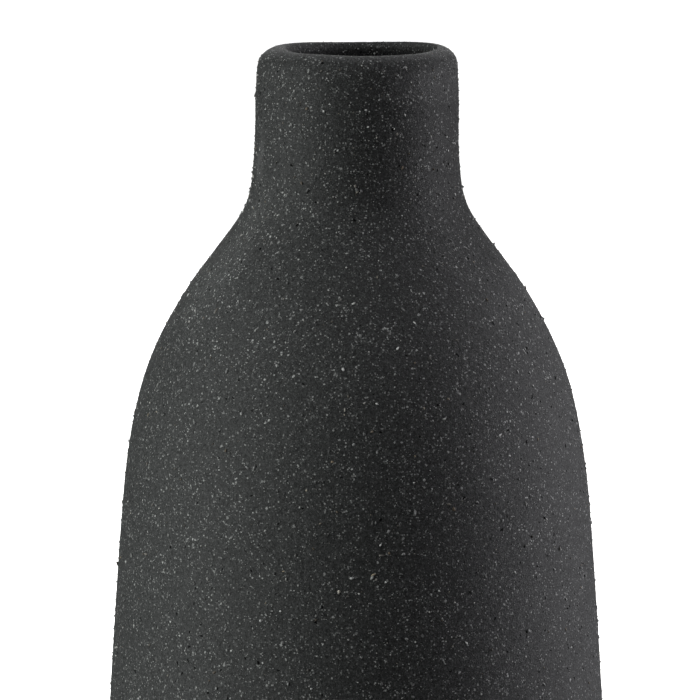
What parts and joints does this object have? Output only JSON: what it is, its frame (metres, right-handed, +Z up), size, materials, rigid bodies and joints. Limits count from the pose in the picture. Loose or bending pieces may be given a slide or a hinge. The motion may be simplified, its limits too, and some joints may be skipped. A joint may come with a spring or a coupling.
{
  "type": "bottle vase",
  "caption": "Matte dark stoneware bottle vase with a straight thick-lipped neck, sloping shoulders and a long body, glazed inside, standing on felt pads.",
  "frame": {"origin": "on the vase's axis, at the surface that the felt pads stand on", "axes": "+Z up along the vase's axis, +X to the right and -Y towards the viewer"},
  "size_m": [0.1308, 0.1308, 0.26],
  "materials": {
    "stoneware": "matte, fine gritty charcoal stoneware with pale speckles",
    "liner_glaze": "glossy black liner glaze",
    "felt": "dark pressed wool felt"
  },
  "bodies": {
    "root": {"stoneware_body": "stoneware", "liner_glaze": "liner_glaze", "felt_pad_1": "felt", "felt_pad_2": "felt", "felt_pad_3": "felt", "felt_pad_4": "felt"}
  },
  "joints": []
}
